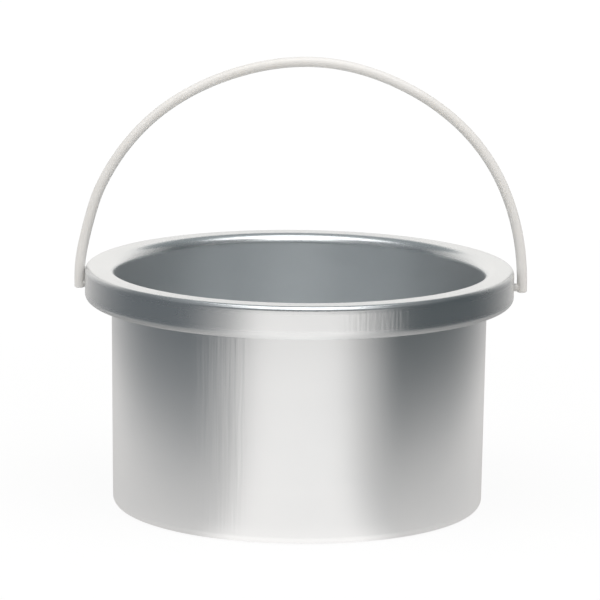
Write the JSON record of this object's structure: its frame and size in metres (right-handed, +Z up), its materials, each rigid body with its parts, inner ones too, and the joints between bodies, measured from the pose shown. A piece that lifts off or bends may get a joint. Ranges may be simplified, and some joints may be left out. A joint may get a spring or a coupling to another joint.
{
  "type": "wax warmer pot",
  "caption": "Round drawn aluminium wax pot with a flat rim, a rolled-over collar and a plastic bail that folds down on both sides.",
  "frame": {"origin": "on the pot's axis, at the underside of its base, on the surface that it stands on", "axes": "+Z up along the pot's axis and out of its mouth; X along the line through the bail's two pegs; Y across the upright bail"},
  "size_m": [0.1266, 0.12, 0.1267],
  "materials": {
    "aluminium": "satin, fine spin lines",
    "milky_plastic": "translucent milky white, softly satin"
  },
  "bodies": {
    "pot": {"pot": "aluminium"},
    "bail": {"bail": "milky_plastic"}
  },
  "joints": [
    {"name": "bail_hinge", "type": "hinge", "parent": "pot", "child": "bail", "pos_m": [0, 0, 0.0622], "axis": [1, 0, 0], "range_deg": [-120, 120]}
  ]
}
